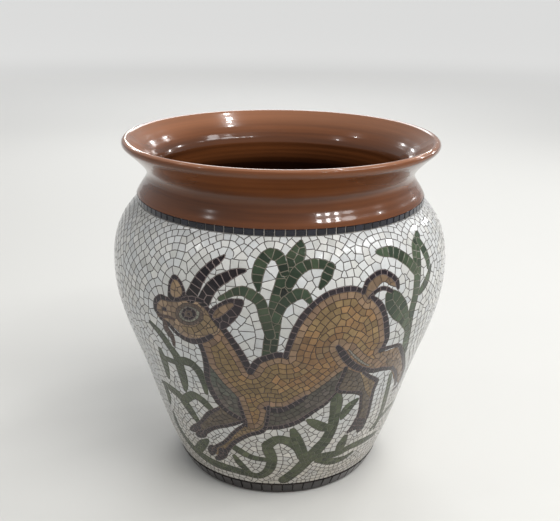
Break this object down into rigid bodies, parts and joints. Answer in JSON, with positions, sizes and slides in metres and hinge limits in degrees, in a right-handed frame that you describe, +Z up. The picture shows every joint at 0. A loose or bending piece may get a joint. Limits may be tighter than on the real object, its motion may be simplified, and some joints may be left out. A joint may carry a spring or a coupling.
{
  "type": "glazed clay garden pot",
  "caption": "Wide-mouthed glazed earthenware pot with a flared brown rim and a mosaic-patterned body showing a leaping horned goat among leaves; hollow and empty, open at the top",
  "frame": {"origin": "middle of the underside, on the surface that the pot stands on", "axes": "+Z up along the pot's axis; the painted goat faces -Y, with its head towards -X"},
  "size_m": [0.357, 0.357, 0.365],
  "materials": {
    "brown_glaze": "glossy transparent glaze over streaked red-brown clay",
    "mosaic_glaze": "glossy glaze over scored and painted small cells",
    "bare_clay": "matte unglazed fired clay"
  },
  "bodies": {
    "root": {"pot": "brown_glaze"}
  },
  "joints": []
}
